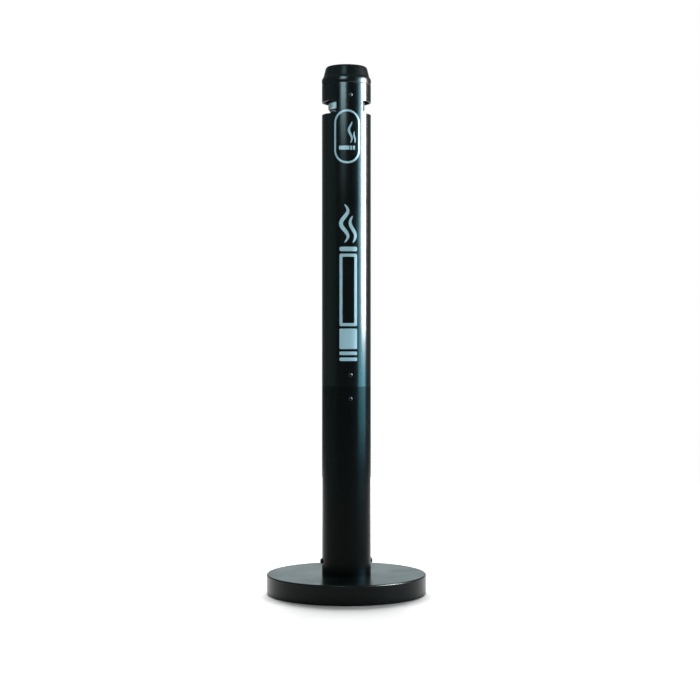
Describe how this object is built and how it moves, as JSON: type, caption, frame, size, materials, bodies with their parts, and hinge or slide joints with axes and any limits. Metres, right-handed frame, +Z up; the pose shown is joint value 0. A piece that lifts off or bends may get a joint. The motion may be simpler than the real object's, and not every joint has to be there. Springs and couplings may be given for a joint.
{
  "type": "pole ashtray bin",
  "caption": "Free-standing pole ashtray bin: weighted round base, two-piece tube with side mouths under a domed cap, stub cup, and a lift-out canister inside.",
  "frame": {"origin": "on the floor, at the centre of the base, on the pole's axis", "axes": "+Z up the pole; the front web between the mouths, the lock screw and the front screws face -Y; the mouths open towards -X and +X"},
  "size_m": [0.324, 0.324, 1.0711],
  "materials": {
    "satin_black_tube": "satin black powder coat on aluminium tube",
    "dull_black_tube": "duller satin black powder coat on aluminium tube",
    "black_cast": "satin black coated aluminium casting",
    "black_cover": "satin black powder-coated spun steel",
    "bare_stub_metal": "bare stainless steel, drawn and lightly brushed",
    "galvanised": "galvanised sheet steel",
    "black_oxide": "black oxide steel fasteners",
    "zinc_steel": "zinc-plated steel",
    "mill_aluminium": "mill-finish aluminium",
    "cast_weight": "grey iron, as cast",
    "black_rubber": "moulded black rubber",
    "grip_vinyl": "dipped black vinyl"
  },
  "bodies": {
    "stand": {"base_cover": "black_cover", "base_weight": "cast_weight", "floor_pad": "black_rubber", "pole_socket": "mill_aluminium", "base_washers": "zinc_steel", "base_bolts": "zinc_steel", "lower_tube": "dull_black_tube", "base_screws": "black_oxide", "coupling_sleeve": "mill_aluminium", "sleeve_screws": "black_oxide"},
    "upper_pole": {"upper_tube": "satin_black_tube", "cap_gasket": "black_rubber", "cap": "black_cast", "cap_screws": "black_oxide", "stub_cup": "bare_stub_metal", "cup_screws": "zinc_steel", "lock_nut": "zinc_steel"},
    "lock_screw": {"lock_screw": "black_oxide"},
    "canister": {"canister_wall": "galvanised", "canister_floor": "galvanised", "bail_ears": "galvanised", "ear_rivets": "mill_aluminium"},
    "bail": {"bail_wire": "zinc_steel", "bail_grip": "grip_vinyl"}
  },
  "joints": [
    {"name": "upper_pole_lift", "type": "slide", "parent": "stand", "child": "upper_pole", "axis": [0, 0, 1], "range_m": [0, 0.3]},
    {"name": "lock_screw_turn", "type": "hinge", "parent": "upper_pole", "child": "lock_screw", "pos_m": [0, -0.04975, 0.445], "axis": [0, -1, 0], "range_deg": [-720, 0]},
    {"name": "canister_lift", "type": "slide", "parent": "stand", "child": "canister", "axis": [0, 0, 1], "range_m": [0, 0.43]},
    {"name": "bail_swing", "type": "hinge", "parent": "canister", "child": "bail", "pos_m": [0, 0, 0.4813], "axis": [1, 0, 0], "range_deg": [0, 180]}
  ]
}
